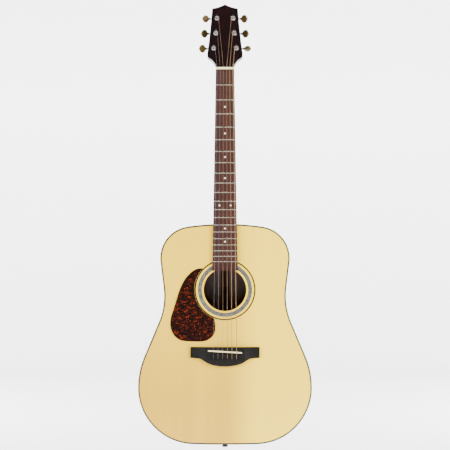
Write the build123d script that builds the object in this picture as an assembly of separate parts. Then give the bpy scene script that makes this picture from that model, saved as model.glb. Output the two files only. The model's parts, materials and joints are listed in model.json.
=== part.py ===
"""Left-handed dreadnought acoustic guitar, as the pieces that a builder glues, presses and screws together.

Every piece is modelled with the guitar lying on its back: x runs across the body towards the bass side,
y runs from the tail to the headstock, z comes out of the front and is zero on the soundboard's face.
to_row() then stands the guitar up: +Z towards the headstock, the front facing -Y, the origin in the middle
of the tail strap button's head. Sizes are in millimetres.
"""

from build123d import *
from math import acos, asin, atan2, cos, degrees, hypot, pi, radians, sin, sqrt, tan
import os

# Body outline
tail_to_lower_bout = 131.0
lower_bout_to_waist = 211.0
waist_to_upper_bout = 87.0
upper_bout_to_neck = 79.0
lower_bout_width = 400.0
upper_bout_width = 298.0
waist_pinch = 9.0  # how far each side of the waist lies inside the upper bout
tail_roundness = 0.992  # corner radii as shares of the length that each has to turn in
shoulder_roundness = 0.93
lower_flank_share = 0.461  # flank and waist radii as shares of the largest pair that still meets
waist_share = 0.386
upper_flank_roundness = 0.77

# Body box
tail_depth = 120.0
neck_end_depth = 100.0
back_arch_radius = 4572.0
top_thickness = 2.8
back_thickness = 2.6
side_thickness = 2.2
binding_height = 6.0
binding_edge_radius = 0.7
purfling_width = 1.4
lining_width = 6.0
lining_height = 14.0
neck_block_width = 92.0
neck_block_length = 55.0
tail_block_width = 80.0
tail_block_length = 20.0

# Soundboard
sound_hole_radius = 49.2
sound_hole_to_neck = 151.5  # from the hole's middle to the body's neck end
rosette_depth = 1.2
rosette_band_gap = 4.4  # from the hole's edge
rosette_band_width = 8.6
rosette_line_width = 0.9
rosette_ring_gap = 4.8  # from the band
rosette_ring_width = 3.3

# Braces
brace_width = 8.0
brace_height = 15.0
brace_tip_height = 3.0
brace_taper = 60.0
x_brace_half_angle = 49.0
x_brace_behind_hole = 23.3  # from the hole's edge to the crossing
x_brace_overrun = 60.0  # how far a bar is drawn past the widest place before it is cut to the body
face_brace_width = 12.0
small_brace_width = 6.5
small_brace_height = 9.0
hole_brace_gap = 15.0  # from the hole's edge to the middle of the bar beside it
hole_brace_start = 20.0  # from the hole's middle back to the bar's end
tone_brace_height = 10.0
tone_brace_outer_x = 124.0
tone_brace_inner_x = 56.0
tone_brace_fall = 78.0
tone_brace_spacing = 62.0
tone_brace_start = 8.0  # from the bridge's rear edge
finger_brace_inner_x = 104.0
finger_brace_below_waist = 122.0
finger_brace_fall = 26.0
finger_brace_spacing = 71.0
back_brace_height = 14.0
back_brace_count = 3  # between the tail block and the sound hole
back_brace_past_hole = 14.0  # one more, this far in front of the hole's edge
bridge_plate_length = 132.0
bridge_plate_margin = 4.0  # past the bridge's front edge
bridge_plate_thickness = 2.6
centre_strip_width = 18.0
centre_strip_thickness = 2.4

# Neck and fingerboard
scale_length = 645.0
body_fret = 14
fret_count = 20
body_fret_inset = 2.5  # the body fret lies this far inside the body's edge
nut_width = 42.5
neck_width_at_body = 54.5
neck_depth_at_nut = 15.0
neck_depth_at_body = 17.5
neck_flare_length = 28.0
fingerboard_thickness = 6.0
fingerboard_radius = 305.0
fingerboard_past_frets = 21.0  # from the last fret to the board's end
nut_length = 5.0
nut_over_board = 2.6
fret_crown_width = 2.0
fret_crown_height = 1.1
fret_tang_width = 0.6
fret_tang_depth = 2.2
fret_end_gap = 0.4
dot_radius = 2.0
dot_depth = 1.5
side_dot_radius = 1.0
double_dot_offset = 13.0
heel_foot_width = 25.0
heel_foot_length = 20.0
heel_reach = 66.0
heel_top = 5.0
heel_cap_thickness = 3.5
tenon_width = 38.0
tenon_foot_width = 22.0
tenon_length = 20.0
tenon_depth = 84.0
truss_channel_width = 6.4
truss_cover = 3.0  # wood left under the channel at the nut
truss_rod_radius = 3.0
truss_rod_stop = 12.0  # from the nut back to the rod's anchored end
truss_nut_radius = 4.5
truss_nut_length = 13.0
truss_nut_gap = 1.0
truss_hex_size = 5.0

# Headstock, in its own plane: across, and up from the back of the nut
head_angle = 13.0
head_thickness = 14.0
veneer_thickness = 1.8
head_length = 152.7
head_corner_length = 142.4
head_top_width = 59.6
head_shoulder_length = 31.5
head_shoulder_width = 81.8
head_shoulder_edge = 8.4  # length of the short edge under the widest place
head_waist_bow = 1.0
head_throat_rise = 1.5
head_corner_radius = 2.0
head_shoulder_radius = 2.5

# Tuning machines
post_stations = (45.3, 81.8, 118.3)  # along the headstock from the back of the nut
post_offsets = (26.1, 21.3, 18.6)  # from the centre line
post_radius = 3.0
post_height = 15.5
post_foot_radius = 2.0
running_clearance = 0.05
string_hole_radius = 0.9
string_hole_height = 9.6
gear_teeth = 14
gear_module = 0.6
gear_thickness = 2.4
gear_dedendum = 0.75
gear_addendum = 0.55
gear_tooth_root_width = 0.84
gear_tooth_tip_width = 0.4
worm_pitch_radius = 2.1
worm_dedendum = 0.65
worm_addendum = 0.5
worm_thread_root_width = 0.72
worm_thread_tip_width = 0.4
worm_half_length = 4.0
worm_shaft_radius = 1.75
housing_depth = 11.0
housing_radius = 8.0
housing_barrel_radius = 5.0
housing_outer_end = 11.0
housing_lug_distance = 12.5
housing_lug_width = 7.0
housing_lug_thickness = 2.0
housing_rounding = 1.2
tuner_screw_radius = 1.1
tuner_screw_length = 9.0
tuner_screw_head_radius = 2.2
tuner_screw_head_height = 1.0
button_screw_radius = 1.0
button_screw_head_radius = 1.9
screw_slot_width = 0.6
bushing_sleeve_radius = 4.4
bushing_height = 3.0
bushing_hex_width = 10.0
washer_radius = 6.3
washer_thickness = 0.8
button_distance = 26.3
button_length = 15.0
button_width = 19.0
button_thickness = 7.6
button_edge_radius = 3.0
button_rest_angles = (35.0, 12.0, -18.0, 80.0, 8.0, 25.0)

# Bridge, saddle and strings
saddle_compensation = 4.0
saddle_slant = 3.5
saddle_length = 78.0
saddle_width = 3.1
saddle_slot_depth = 5.0
saddle_over_board = 5.6
bridge_width = 159.0
bridge_front = 10.9  # from the middle of the saddle towards the sound hole
bridge_wing_back = 13.9  # from the middle of the saddle towards the tail
bridge_belly_back = 34.0
bridge_height = 7.8
bridge_wing_tip_height = 3.6
bridge_trough_length = 12.0
bridge_trough_start = 4.5
bridge_trough_floor = 3.4
bridge_edge_rounding = 0.8
string_gauges = (0.305, 0.406, 0.61, 0.81, 1.07, 1.35)  # from the treble side to the bass side
string_edge_gap = 3.25  # from the outer strings to the nut's ends
string_span_at_saddle = 53.5
string_over_board_at_nut = 1.7
string_seat_depth = 0.4
string_clearance = 0.04
string_bend_radius = 6.0
ball_radius = 2.0
ball_length = 3.4
string_gap_at_post = 0.35
lowest_wrap_height = 5.4

# Pickguard and strap button
pickguard_thickness = 1.4
pickguard_gap = 0.3
pickguard_bridge_gap = 1.5
pickguard_edge_rounding = 0.5
pickguard_edge = (  # its free edge, across and along from the hole's middle, from the neck end round
    (-38.0, 44.0),
    (-58.9, 49.3),
    (-93.4, 22.0),
    (-107.6, -10.0),
    (-118.0, -43.5),
    (-124.8, -88.0),
    (-107.6, -113.5),
    (-74.3, -119.0),
    (-38.6, -114.9),
    (-24.8, -100.5),
    (-22.5, -82.7),
    (-25.5, -62.0),
)
strap_button_head_radius = 7.0
strap_button_head_length = 3.0
strap_button_stand = 12.0
strap_button_waist_radius = 4.0
strap_button_foot_radius = 6.5
strap_button_peg_radius = 3.0
strap_button_peg_length = 17.0

# Places worked out from the sizes
half_lower = lower_bout_width / 2
half_upper = upper_bout_width / 2
half_waist = half_upper - waist_pinch
lower_y = tail_to_lower_bout
waist_y = lower_y + lower_bout_to_waist
upper_y = waist_y + waist_to_upper_bout
body_length = upper_y + upper_bout_to_neck
sound_hole_y = body_length - sound_hole_to_neck
rosette_band_radius = sound_hole_radius + rosette_band_gap
rosette_ring_radius = rosette_band_radius + rosette_band_width + rosette_ring_gap
x_brace_y = sound_hole_y - sound_hole_radius - x_brace_behind_hole
nut_y = body_length - body_fret_inset + scale_length * (1 - 2 ** (-body_fret / 12))
head_y = nut_y + nut_length
fingerboard_end_y = nut_y - scale_length * (1 - 2 ** (-fret_count / 12)) - fingerboard_past_frets
saddle_y = nut_y - scale_length - saddle_compensation
bridge_rear_y = saddle_y - bridge_belly_back
truss_channel_depth = neck_depth_at_nut - truss_cover
nut_height = fingerboard_thickness + nut_over_board
string_height_at_nut = fingerboard_thickness + string_over_board_at_nut
saddle_top_height = fingerboard_thickness + saddle_over_board
string_span_at_nut = nut_width - 2 * string_edge_gap
strap_axis_z = -tail_depth / 2
strap_head_middle = strap_button_stand - strap_button_head_length / 2
worm_level = -head_thickness - housing_depth / 2
gear_pitch_radius = gear_module * gear_teeth / 2
worm_offset = gear_pitch_radius + worm_pitch_radius
worm_pitch = pi * gear_module
worm_phase = -360 * worm_half_length / worm_pitch  # sets the thread between two teeth
deep = tail_depth + neck_end_depth  # more than the body is deep, for cutting tools


def to_row(shape):
    """Stands the guitar up and moves its origin to the tail strap button."""
    return Pos(0, strap_axis_z, strap_head_middle) * Rot(90, 0, 0) * shape


def largest_radii(half_step, along):
    """The largest sum of a flank's and the waist's radii, for widths that differ by half_step over along."""
    return (half_step**2 + along**2) / (2 * half_step)


lower_limit = largest_radii(half_lower - half_waist, waist_y - lower_y)
upper_limit = largest_radii(half_upper - half_waist, upper_y - waist_y)
tail_corner = tail_roundness * lower_y
shoulder_corner = shoulder_roundness * (body_length - upper_y)
lower_flank = lower_flank_share * lower_limit
waist_radius = min(waist_share * lower_limit, upper_limit / 2)
upper_flank = min(upper_flank_roundness * (upper_y - waist_y), 0.9 * (upper_limit - waist_radius))


def end_arc_radius(half_width, corner, rise):
    """Radius of the arc across the tail or the shoulders that runs smoothly into its two corner arcs."""
    return ((half_width - corner) ** 2 + rise**2 - corner**2) / (2 * (rise - corner))


def box(x_range, y_range, z_range):
    """A block between two values on each axis."""
    (x0, x1), (y0, y1), (z0, z1) = x_range, y_range, z_range
    middle = Pos((x0 + x1) / 2, (y0 + y1) / 2, (z0 + z1) / 2)
    return middle * Box(x1 - x0, y1 - y0, z1 - z0)


def outline(inset=0.0):
    """The body's outline as a face, moved inwards by inset."""
    tail_radius = end_arc_radius(half_lower, tail_corner, lower_y)
    shoulder_radius = end_arc_radius(half_upper, shoulder_corner, body_length - upper_y)
    waist_centre = Vector(half_waist + waist_radius, waist_y)

    def tangent_angle(centre, radius, side):
        way = waist_centre - centre
        spread = degrees(acos((radius + waist_radius) / way.length))
        return degrees(atan2(way.Y, way.X)) + side * spread

    def arc(centre, radius, start, end):
        return CenterArc(centre, radius, start, end - start)

    lower_centre = Vector(half_lower - lower_flank, lower_y)
    upper_centre = Vector(half_upper - upper_flank, upper_y)
    lower_turn = tangent_angle(lower_centre, lower_flank, -1)
    upper_turn = tangent_angle(upper_centre, upper_flank, 1)
    tail_turn = degrees(atan2(lower_y - tail_radius, half_lower - tail_corner))
    shoulder_rise = upper_y - (body_length - shoulder_radius)
    shoulder_turn = degrees(atan2(shoulder_rise, half_upper - shoulder_corner))
    tail = arc((0, tail_radius), tail_radius - inset, -90, tail_turn)
    tail_side = arc((half_lower - tail_corner, lower_y), tail_corner - inset, tail_turn, 0)
    lower_side = arc(lower_centre, lower_flank - inset, 0, lower_turn)
    waist = arc(waist_centre, waist_radius + inset, 180 + lower_turn, 180 + upper_turn)
    upper_side = arc(upper_centre, upper_flank - inset, upper_turn, 0)
    corner_centre = (half_upper - shoulder_corner, upper_y)
    shoulder_side = arc(corner_centre, shoulder_corner - inset, 0, shoulder_turn)
    shoulder_centre = (0, body_length - shoulder_radius)
    shoulder = arc(shoulder_centre, shoulder_radius - inset, shoulder_turn, 90)
    half = [
        tail,
        tail_side,
        lower_side,
        Line(lower_side @ 1, waist @ 0),
        waist,
        Line(waist @ 1, upper_side @ 0),
        upper_side,
        shoulder_side,
        shoulder,
    ]
    return make_face(half + [mirror(edge, about=Plane.YZ) for edge in half])


def prism(face, z_low, z_high):
    """A flat face made into a block between two heights."""
    return extrude(Pos(0, 0, z_low) * face, amount=z_high - z_low)


def inside_back(reduction=0.0):
    """A ball whose underside is the arched back's outer face, made smaller by reduction."""
    rise = tail_depth - neck_end_depth
    half_chord = hypot(body_length, rise) / 2
    height = sqrt(back_arch_radius**2 - half_chord**2)
    across = Vector(-rise, body_length).normalized() * height
    centre_y = body_length / 2 + across.X
    centre_z = -(tail_depth + neck_end_depth) / 2 + across.Y
    return Pos(0, centre_y, centre_z) * Rot(90, 0, 0) * Sphere(back_arch_radius - reduction)


def back_layer(face, outer, inner):
    """The part of a face's block that lies between two depths under the back's outer face."""
    return (prism(face, -deep, 0) & inside_back(outer)) - inside_back(inner)


# Body box ---------------------------------------------------------------------------------------------


def soundboard():
    board = prism(outline(side_thickness + purfling_width), -top_thickness, 0)
    board -= Pos(0, sound_hole_y, 0) * Cylinder(sound_hole_radius, 4 * top_thickness)
    for inner, width in rosette_grooves():
        board -= ring(inner, width)
    return board


def rosette_grooves():
    """Inner radius and width of each groove in the soundboard."""
    return ((rosette_band_radius, rosette_band_width), (rosette_ring_radius, rosette_ring_width))


def ring(inner, width):
    """A flat ring round the sound hole, let into the soundboard."""
    face = Circle(inner + width) - Circle(inner)
    return prism(Pos(0, sound_hole_y, 0) * face, -rosette_depth, 0)


def rosette():
    """A band between two thin lines, and a narrow dark ring outside it."""
    middle = rosette_band_width - 2 * rosette_line_width
    return [
        ring(rosette_band_radius, rosette_line_width),
        ring(rosette_band_radius + rosette_line_width, middle),
        ring(rosette_band_radius + rosette_line_width + middle, rosette_line_width),
        ring(rosette_ring_radius, rosette_ring_width),
    ]


def back_plate():
    return back_layer(outline(side_thickness), 0, back_thickness)


def sides():
    """The two bent sides, which meet on the tail block and stop at the neck's tenon."""
    face = outline() - outline(side_thickness)
    hoop = prism(face, -deep, -binding_height) & inside_back(binding_height)
    hoop -= tenon()
    hoop -= strap_peg()
    treble = hoop & box((-half_lower - 1, 0), (-1, body_length + 1), (-deep, 0))
    bass = hoop & box((0, half_lower + 1), (-1, body_length + 1), (-deep, 0))
    return treble, bass


def bindings():
    """Hoops that fill the corners between the sides and the two plates, with a purfling line beside the top."""
    face = outline() - outline(side_thickness)
    line = outline(side_thickness) - outline(side_thickness + purfling_width)
    top = prism(face, -binding_height, 0) + prism(line, -top_thickness, 0)
    outer_edge = top.edges().filter_by(lambda edge: abs(edge.center().Z) < 1e-6)
    on_outline = outline().wire()
    outer_edge = [e for e in outer_edge if on_outline.distance_to(e @ 0.5) < 1e-4]
    top = fillet(outer_edge, binding_edge_radius)
    return [top, back_layer(face, 0, binding_height)]


def linings():
    """Strips inside the corners, stopped by the two blocks."""
    face = outline(side_thickness) - outline(side_thickness + lining_width)
    top = prism(face, -top_thickness - lining_height, -top_thickness)
    back = back_layer(face, back_thickness, back_thickness + lining_height)
    stops = box(
        (-neck_block_width / 2, neck_block_width / 2),
        (body_length - neck_block_length - side_thickness, body_length),
        (-deep, 0),
    ) + box((-tail_block_width / 2, tail_block_width / 2), (0, tail_block_length), (-deep, 0))
    return [solid for hoop in (top, back) for solid in (hoop - stops).solids()]


def block_between_plates(face):
    return prism(face, -deep, -top_thickness) & inside_back(back_thickness)


def neck_block():
    start = body_length - neck_block_length - side_thickness
    middle = Pos(0, (start + body_length) / 2)
    face = outline(side_thickness) & middle * Rectangle(neck_block_width, body_length - start)
    return block_between_plates(face) - tenon() - truss_bore()


def tail_block():
    middle = Pos(0, tail_block_length / 2)
    face = outline(side_thickness) & middle * Rectangle(tail_block_width, tail_block_length)
    return block_between_plates(face) - strap_peg()


# Braces -----------------------------------------------------------------------------------------------


def brace(start, end, width, height, level=-top_thickness, taper=brace_taper):
    """A bar under the soundboard between two points, with both ends tapered."""
    start, end = Vector(*start), Vector(*end)
    way = end - start
    taper = min(taper, way.length / 3)
    tip = min(brace_tip_height, height / 2)
    profile = Polyline(
        (0, 0),
        (way.length, 0),
        (way.length, -tip),
        (way.length - taper, -height),
        (taper, -height),
        (0, -tip),
        close=True,
    )
    plane = Plane(origin=(start.X, start.Y, level), x_dir=way, z_dir=way.cross(Vector(0, 0, 1)))
    return extrude(plane * make_face(profile), amount=width / 2, both=True)


def room_for_braces():
    """The inside of the body, clear of the linings."""
    return prism(outline(side_thickness + lining_width), -deep, 0)


def x_brace():
    """Two long bars that cross behind the sound hole, halved into each other."""
    angle = radians(x_brace_half_angle)
    reach = (half_lower + x_brace_overrun) / sin(angle)
    front = (half_upper + x_brace_overrun) / sin(angle)
    room = room_for_braces()
    bars = []
    for side in (-1, 1):
        across, along = side * sin(angle), cos(angle)
        low = (-across * reach, x_brace_y - along * reach)
        high = (across * front, x_brace_y + along * front)
        bars.append(brace(low, high, brace_width, brace_height) & room)
    crossing = Pos(0, x_brace_y, -top_thickness - brace_height / 4)
    upper_half = crossing * Box(4 * brace_width, 4 * brace_width, brace_height / 2)
    lower_half = Pos(0, 0, -brace_height / 2) * upper_half
    first, second = bars
    shared = first & second
    first -= shared & lower_half
    second -= shared & upper_half
    return [first, second]


def top_braces(x_bars, plate):
    """The bar across the upper bout, two beside the hole, two tone bars and four finger bars."""
    block_start = body_length - neck_block_length - side_thickness
    face_y = (sound_hole_y + sound_hole_radius + block_start) / 2
    room = room_for_braces()
    bars = [brace((-half_upper, face_y), (half_upper, face_y), face_brace_width, brace_height)]
    hole_side = sound_hole_radius + hole_brace_gap
    for side in (-1, 1):
        low = (side * hole_side, sound_hole_y - hole_brace_start)
        high = (side * hole_side, face_y - face_brace_width / 2)
        bars.append(brace(low, high, small_brace_width, small_brace_height, taper=15))
    for drop in (0, tone_brace_spacing):
        high_y = bridge_rear_y + tone_brace_start - drop
        high = (-tone_brace_inner_x, high_y)
        low = (tone_brace_outer_x, high_y - tone_brace_fall)
        bars.append(brace(low, high, small_brace_width, tone_brace_height))
    for side in (-1, 1):
        for drop in (0, finger_brace_spacing):
            inner_y = waist_y - finger_brace_below_waist - drop
            inner = (side * finger_brace_inner_x, inner_y)
            outer = (side * half_lower, inner_y - finger_brace_fall)
            bars.append(brace(inner, outer, small_brace_width, small_brace_height, taper=30))
    cutters = [x_bars[0], x_bars[1], plate, truss_bore()]
    cut = []
    for bar in bars:
        bar &= room
        for cutter in cutters:
            bar -= cutter
        cut.append(max(bar.solids(), key=lambda solid: solid.volume))
    return cut


def bridge_plate(x_bars):
    half = bridge_plate_length / 2
    y_range = (bridge_rear_y, saddle_y + bridge_front + bridge_plate_margin)
    plate = box((-half, half), y_range, (-top_thickness - bridge_plate_thickness, -top_thickness))
    plate -= x_bars[0]
    plate -= x_bars[1]
    return max(plate.solids(), key=lambda solid: solid.volume)


def back_braces():
    """Bars across the back's inner face: some spread behind the sound hole and one in front of it."""
    room = prism(outline(side_thickness + lining_width), -deep, -top_thickness - lining_height)
    step = (sound_hole_y - sound_hole_radius - tail_block_length) / (back_brace_count + 0.5)
    middles = [tail_block_length + (number + 0.75) * step for number in range(back_brace_count)]
    middles.append(sound_hole_y + sound_hole_radius + back_brace_past_hole)
    bars = []
    for middle in middles:
        depth = tail_depth + (neck_end_depth - tail_depth) * middle / body_length
        floor = box(
            (-half_lower, half_lower),
            (middle - brace_width / 2, middle + brace_width / 2),
            (-deep, -depth + back_thickness + back_brace_height),
        )
        bars.append(floor & room & inside_back(back_thickness))
    return bars


def back_centre_strip(bars):
    """The thin strip over the back's centre joint, cut where the bars cross it."""
    length = body_length - neck_block_length - side_thickness - tail_block_length
    face = Pos(0, tail_block_length + length / 2) * Rectangle(centre_strip_width, length)
    strip = back_layer(face, back_thickness, back_thickness + centre_strip_thickness)
    for bar in bars:
        strip -= bar
    return strip.solids()


# Neck -------------------------------------------------------------------------------------------------


def neck_width(y):
    """Width of the fingerboard and of the neck under it."""
    share = (nut_y - y) / (nut_y - body_length)
    return nut_width + share * (neck_width_at_body - nut_width)


def fret_y(number):
    return nut_y - scale_length * (1 - 2 ** (-number / 12))


def tenon():
    """The tapered tongue that locks the neck into its block."""
    back = body_length - side_thickness - tenon_length
    depth = min(tenon_depth, neck_end_depth - back_thickness - binding_height)
    top, foot = tenon_width / 2, tenon_foot_width / 2
    corners = ((-top, -binding_height), (top, -binding_height), (foot, -depth), (-foot, -depth))
    plane = Plane(origin=(0, back, 0), x_dir=(-1, 0, 0), z_dir=(0, 1, 0))
    return extrude(plane * make_face(Polyline(*corners, close=True)), amount=body_length + 1 - back)


def truss_axis_z():
    return -truss_channel_depth + truss_rod_radius


def truss_bore():
    """The bore through the neck block that lets the truss rod's nut through."""
    start = body_length - neck_block_length - side_thickness
    bore_radius = truss_nut_radius + truss_nut_gap
    length = neck_block_length + 60
    middle = Pos(0, start - 60 + length / 2, truss_axis_z())
    return middle * Rot(90, 0, 0) * Cylinder(bore_radius, length)


def neck_section(y, depth):
    return half_oval(y, neck_width(y) / 2, depth)


def heel():
    """A stack of rounded sections that shrink from the neck's width to the heel cap."""
    bottom = neck_end_depth - heel_cap_thickness
    sections = []
    for share in (0.0, 0.12, 0.28, 0.5, 0.75, 1.0):
        left = (1 - share) ** 3
        half = (heel_foot_width + (neck_width_at_body - heel_foot_width) * (1 - share) ** 1.7) / 2
        reach = heel_foot_length + (heel_reach - heel_foot_length) * left
        level = -heel_top - share * (bottom - heel_top)
        sections.append(heel_section(half - 0.4 * left, reach, level))
    return loft(sections)


def heel_section(half, reach, level):
    base = body_length - side_thickness - 3
    curve = EllipticalCenterArc((0, base), half, reach + body_length - base, 0, arc_size=180)
    return Pos(0, 0, level) * make_face([curve, Line((-half, base), (half, base))])


def head_plane(height=0.0):
    """The headstock's plane, height above its wooden face; its x runs across and its y runs up."""
    lean = radians(head_angle)
    normal = Vector(0, sin(lean), cos(lean))
    face = Plane(origin=(0, head_y, -1.0), x_dir=(1, 0, 0), z_dir=normal)
    return face.offset(height)


def head_outline(start=0.0):
    """The headstock's outline, from start along its plane up to the peak."""
    throat = nut_width / 2
    shoulder = head_shoulder_width / 2
    corner = head_top_width / 2
    throat_start = Vector(throat, head_throat_rise)
    shoulder_low = Vector(shoulder - 1.3, head_shoulder_length - head_shoulder_edge)
    shoulder_high = Vector(shoulder, head_shoulder_length)
    sweep_way = shoulder_low - throat_start
    sweep_points = [
        throat_start + Vector(sweep_way.X * across, sweep_way.Y * along)
        for across, along in ((0.14, 0.33), (0.39, 0.635), (0.67, 0.84))
    ]
    side_middle = (shoulder_high + Vector(corner, head_corner_length)) / 2 - Vector(head_waist_bow, 0)
    peak = Vector(0, head_length)
    top_corner = Vector(corner, head_corner_length)
    top_middle = Vector(corner * 0.36, head_corner_length + (head_length - head_corner_length) * 0.48)
    half = [
        Line((0, start), (throat, start)),
        Line((throat, start), throat_start),
        Spline(throat_start, *sweep_points, shoulder_low, tangents=[(0, 1), (0.93, 0.36)]),
        Line(shoulder_low, shoulder_high),
        ThreePointArc(shoulder_high, side_middle, top_corner),
        ThreePointArc(top_corner, top_middle, peak),
    ]
    face = make_face(half + [mirror(edge, about=Plane.YZ) for edge in half])

    def at(point):
        return [v for v in face.vertices() if abs(abs(v.X) - point.X) < 1e-4 and abs(v.Y - point.Y) < 1e-4]

    face = fillet(at(top_corner), head_corner_radius)
    return fillet(at(shoulder_low) + at(shoulder_high), head_shoulder_radius)


def headstock():
    """The tilted board, rounded where it runs out of the neck's shaft."""
    run_in = nut_length + neck_flare_length / 2
    board = extrude(head_plane() * head_outline(-run_in), amount=-head_thickness)
    over_nut = box((-nut_width, nut_width), (nut_y - 2 * run_in, head_y), (0, 2 * head_thickness))
    board -= over_nut
    start, end = nut_y - neck_flare_length / 2, head_y + neck_flare_length
    flare = loft([half_oval(start, nut_width / 2, neck_depth_at_nut), half_oval(end, 62, 56)])
    beyond = box((-nut_width * 2, nut_width * 2), (end, end + 2 * head_length), (-deep, deep))
    return (board & flare) + (board & beyond)


def half_oval(y, half_width, depth):
    """Half of an oval across the neck, flat on top and depth deep."""
    curve = EllipticalCenterArc((0, 0), half_width, depth, 0, arc_size=180)
    face = make_face([curve, Line((-half_width, 0), (half_width, 0))])
    return Plane(origin=(0, y, 0), x_dir=(1, 0, 0), z_dir=(0, 1, 0)) * face


def tuner_frames():
    """The plane of each machine, with its x outwards to the button and its z out of the front."""
    frames = []
    for side in (-1, 1):
        for station, offset in zip(post_stations, post_offsets):
            frames.append((side, head_plane() * Pos(side * offset, station, worm_level)))
    return frames


def place_tuner(shape, side, frame):
    """Puts a machine's piece in its place; the machines of the treble side are mirror images."""
    return frame * (shape if side > 0 else mirror(shape, about=Plane.YZ))


def placed_on_all(make):
    return [place_tuner(make(), side, frame) for side, frame in tuner_frames()]


def post_holes():
    length = head_thickness + veneer_thickness + 4
    hole = Pos(0, 0, -worm_level - head_thickness / 2) * Cylinder(bushing_sleeve_radius, length + 8)
    return [place_tuner(hole, side, frame) for side, frame in tuner_frames()]


def neck():
    joint_y = body_length - side_thickness - 3
    shaft = loft(
        [
            neck_section(joint_y, neck_depth_at_body),
            neck_section(head_y + 3, neck_depth_at_nut),
        ]
    )
    body = prism(outline(), -deep, 0)
    wood = shaft + heel() + headstock()
    wood -= body
    over_head = head_plane() * Pos(0, 0, head_length / 2) * Box(head_length, 2 * head_length, head_length)
    wood -= over_head & box((-deep, deep), (head_y, head_y + 2 * head_length), (-deep, deep))
    wood += tenon() & body
    half = truss_channel_width / 2
    wood -= box((-half, half), (fingerboard_end_y, nut_y - truss_rod_stop), (-truss_channel_depth, 0))
    for hole in post_holes():
        wood -= hole
    for screw in tuner_screws():
        wood -= screw
    return wood


def heel_cap():
    face_plane = Pos(0, 0, -neck_end_depth + heel_cap_thickness)
    half = heel_foot_width / 2
    section = heel_section(half, heel_foot_length, 0)
    cap = extrude(face_plane * section, amount=-heel_cap_thickness)
    return cap - prism(outline(), -deep, 0)


def fingerboard_blank(height):
    """A tapered board with a rounded top, height thick along its middle."""
    wide = neck_width(fingerboard_end_y) / 2
    narrow = nut_width / 2
    face = make_face(
        Polyline(
            (-wide, fingerboard_end_y),
            (wide, fingerboard_end_y),
            (narrow, nut_y),
            (-narrow, nut_y),
            close=True,
        )
    )
    middle = (fingerboard_end_y + nut_y) / 2
    return prism(face, 0, height) & board_barrel(height, middle, 2 * scale_length)


def bent_to_board(profile, y):
    """Sweeps a fret's profile across the fingerboard along its rounded top."""
    reach = degrees(asin((neck_width(y) / 2 - fret_end_gap) / fingerboard_radius))
    axis = Axis((0, y, fingerboard_thickness - fingerboard_radius), (0, 1, 0))
    across = Plane(origin=(0, y, 0), x_dir=(0, 1, 0), z_dir=(1, 0, 0)) * profile
    return revolve(across.rotate(axis, -reach), axis, 2 * reach)


def fret_wire(number):
    """One fret: a rounded crown and its tang, bent to the fingerboard's radius."""
    half_crown = fret_crown_width / 2
    half_tang = fret_tang_width / 2
    top = fingerboard_thickness
    crown = ThreePointArc((-half_crown, top), (0, top + fret_crown_height), (half_crown, top))
    tang = Polyline(
        (half_crown, top),
        (half_tang, top),
        (half_tang, top - fret_tang_depth),
        (-half_tang, top - fret_tang_depth),
        (-half_tang, top),
        (-half_crown, top),
    )
    return bent_to_board(make_face([crown, tang]), fret_y(number))


def fret_slot(number):
    top = fingerboard_thickness
    slot = Pos(0, top) * Rectangle(fret_tang_width, 2 * fret_tang_depth)
    return bent_to_board(slot, fret_y(number))


def frets():
    return [fret_wire(number) for number in range(1, fret_count + 1)]


def dot_pegs():
    """Round marks in the fingerboard's face, and small ones in the edge that the player sees."""
    pegs = []
    for number in (3, 5, 7, 9, 12, 15, 17):
        y = (fret_y(number) + fret_y(number - 1)) / 2
        spots = (-double_dot_offset, double_dot_offset) if number == 12 else (0,)
        pegs += [Pos(x, y, fingerboard_thickness) * Cylinder(dot_radius, 2 * dot_depth) for x in spots]
        edge = Pos(neck_width(y) / 2, y, fingerboard_thickness / 2) * Rot(0, 90, 0)
        pegs.append(edge * Cylinder(side_dot_radius, 2 * dot_depth))
    return pegs


def position_dots():
    return [peg & fingerboard_blank(fingerboard_thickness) for peg in dot_pegs()]


def fingerboard():
    board = fingerboard_blank(fingerboard_thickness)
    for number in range(1, fret_count + 1):
        board -= fret_slot(number)
    for peg in dot_pegs():
        board -= peg
    return board


def board_barrel(height, middle_y, length):
    """A long barrel with the fingerboard's radius, whose top lies at height."""
    barrel = Cylinder(fingerboard_radius, length)
    return Pos(0, middle_y, height - fingerboard_radius) * Rot(90, 0, 0) * barrel


def board_fall(x):
    """How far the rounded playing surface falls away at x."""
    return fingerboard_radius - sqrt(fingerboard_radius**2 - x**2)


def nut(cutters):
    block = box((-nut_width / 2, nut_width / 2), (nut_y, head_y), (0, 2 * nut_height))
    block &= board_barrel(nut_height, nut_y, 8 * nut_length)
    back_edge = [e for e in block.edges() if e.center().Z > nut_height * 0.8 and e.center().Y > head_y - 0.1]
    block = fillet(back_edge, nut_length * 0.5)
    for cutter in cutters:
        block -= cutter
    return block


def headstock_veneer():
    """The thin dark face glued on the headstock, which ends against the nut."""
    board = extrude(head_plane() * head_outline(-3), amount=veneer_thickness)
    board -= box((-nut_width, nut_width), (nut_y - 20, head_y), (-20, 20))
    for hole in post_holes():
        board -= hole
    return board


def truss_rod():
    start = body_length - neck_block_length - side_thickness
    end = nut_y - truss_rod_stop
    middle = Pos(0, (start + end) / 2, truss_axis_z())
    return middle * Rot(90, 0, 0) * Cylinder(truss_rod_radius, end - start)


def truss_rod_nut():
    """A barrel nut with a hexagon socket, in front of the rod's end inside the body."""
    start = body_length - neck_block_length - side_thickness
    barrel = Cylinder(truss_nut_radius, truss_nut_length)
    socket = extrude(RegularPolygon(truss_hex_size / 2, 6, major_radius=False), amount=truss_nut_length / 2)
    plug = Pos(0, start - 0.3 - truss_nut_length / 2, truss_axis_z())
    return plug * Rot(90, 0, 0) * (barrel - socket)


# Tuning machines, each about its post's axis at the level of the worm shaft ---------------------------


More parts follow.
